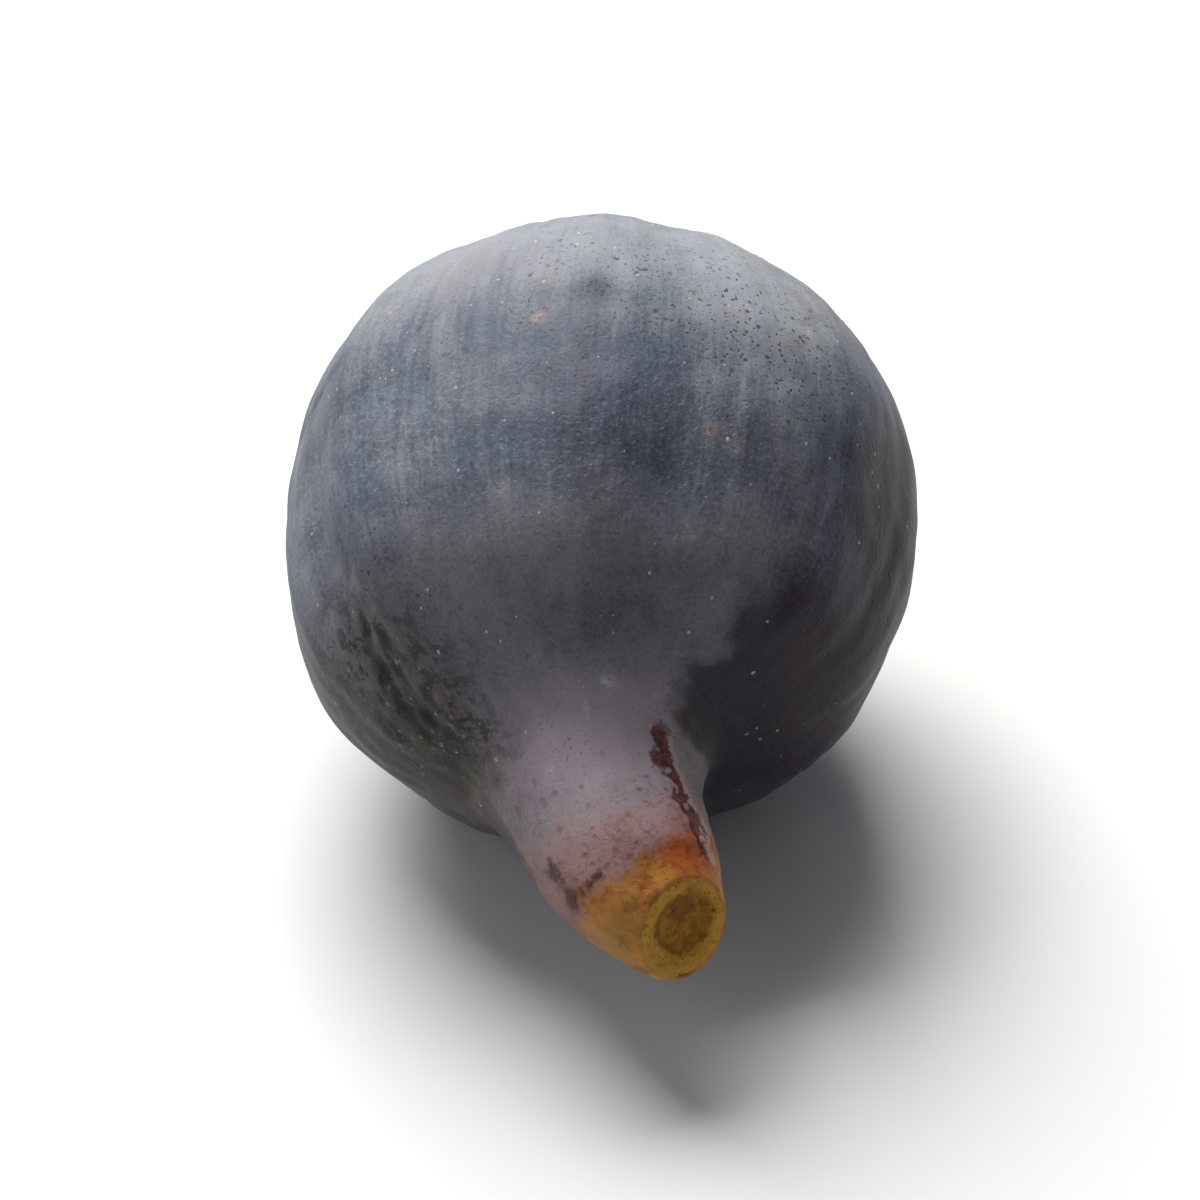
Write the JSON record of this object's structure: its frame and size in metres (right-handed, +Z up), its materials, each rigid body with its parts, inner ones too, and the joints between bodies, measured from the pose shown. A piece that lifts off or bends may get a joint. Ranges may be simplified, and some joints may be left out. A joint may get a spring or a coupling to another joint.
{
  "type": "fresh fig",
  "caption": "Whole fresh purple-black fig with a bloom on its skin, a curved neck, a cut stalk and a scaly eye, lying on its side.",
  "frame": {"origin": "centre of the small flat spot that the fig rests on, on its underside", "axes": "+Z up from the resting surface; -Y towards the cut stalk; +Y towards the eye; +X to the side that the stalk curves to"},
  "size_m": [0.0508, 0.0651, 0.0496],
  "materials": {
    "skin": "dark purple-black fruit skin under an uneven blue-grey waxy bloom, with small pale pores; matte with a faint sheen where the bloom is rubbed",
    "stalk": "amber to ochre stalk end with an olive-brown cut face and a paler rim",
    "eye_scale": "dry pinkish-straw scales round a dark opening"
  },
  "bodies": {
    "root": {"fig": "skin"}
  },
  "joints": []
}
